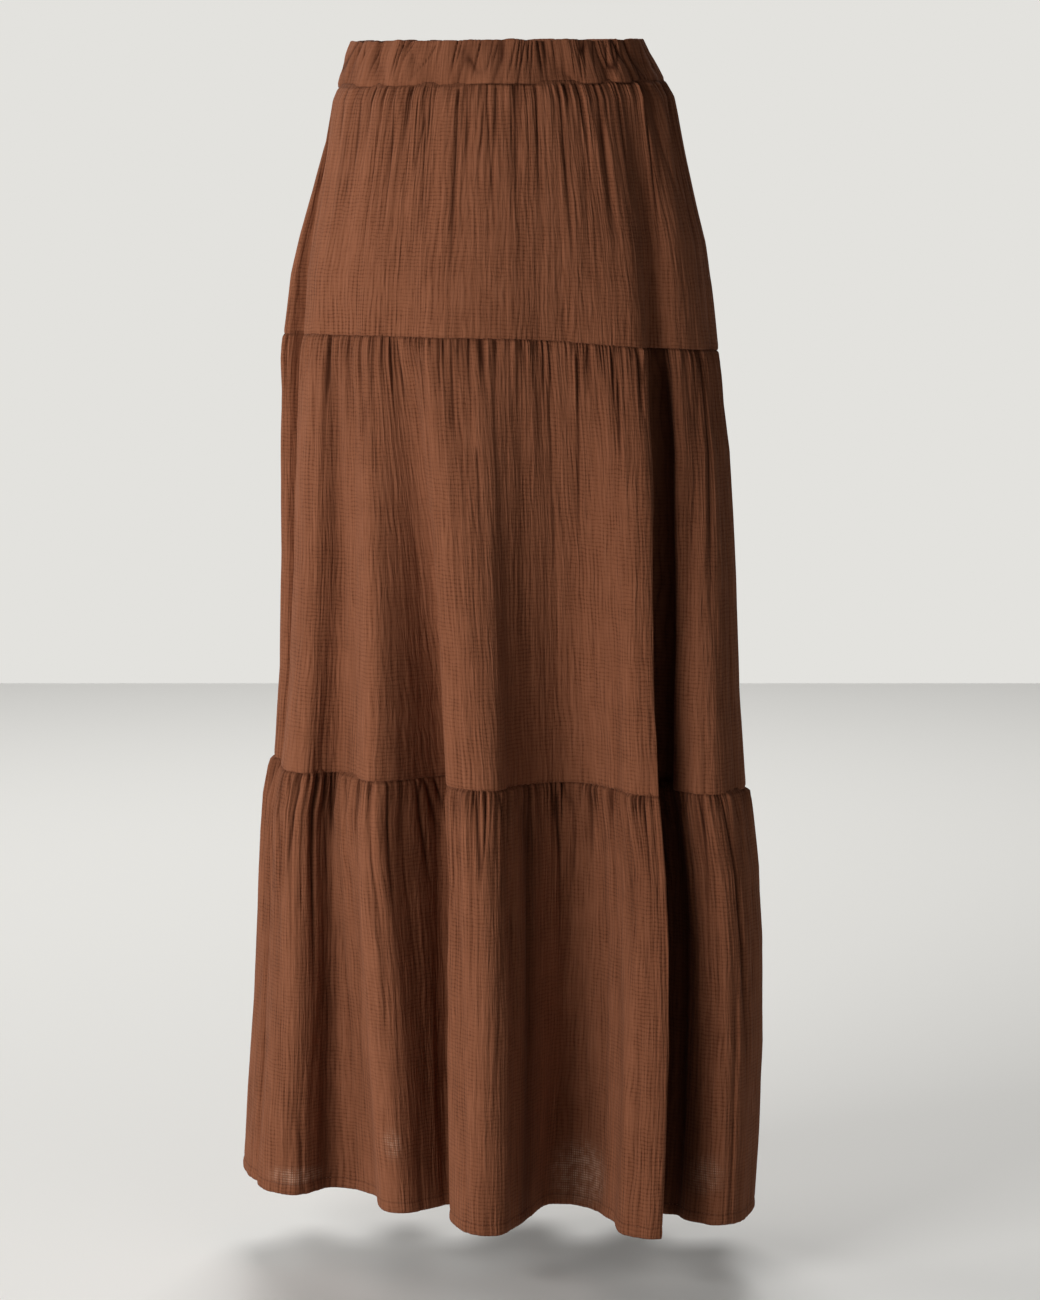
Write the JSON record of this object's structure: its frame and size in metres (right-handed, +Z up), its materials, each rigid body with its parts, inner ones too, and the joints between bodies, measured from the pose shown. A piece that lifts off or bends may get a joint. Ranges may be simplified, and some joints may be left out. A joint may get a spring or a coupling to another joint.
{
  "type": "a-line maxi skirt",
  "caption": "Long A-line skirt of crinkled brown double gauze: tiers gathered one onto the next under a wide elastic waistband, in the deep soft folds of a skirt being worn.",
  "frame": {"origin": "centre of the waist opening, level with the waistband's top edge", "axes": "+Z up the wearer's body, +Y the way the wearer faces, +X to the wearer's right; the pictured back faces -Y"},
  "size_m": [0.4562, 0.34, 1.009],
  "materials": {
    "double_gauze": "matt, crinkled cotton double gauze, slightly sheer where a single layer meets the light",
    "shirred_gauze": "the same gauze, drawn up in fine creases over a wide elastic"
  },
  "bodies": {
    "root": {"waistband_back": "shirred_gauze", "waistband_front": "shirred_gauze", "tier1_back": "double_gauze", "tier1_front": "double_gauze", "tier2_back": "double_gauze", "tier2_front": "double_gauze", "tier3_back": "double_gauze", "tier3_front": "double_gauze"}
  },
  "joints": []
}
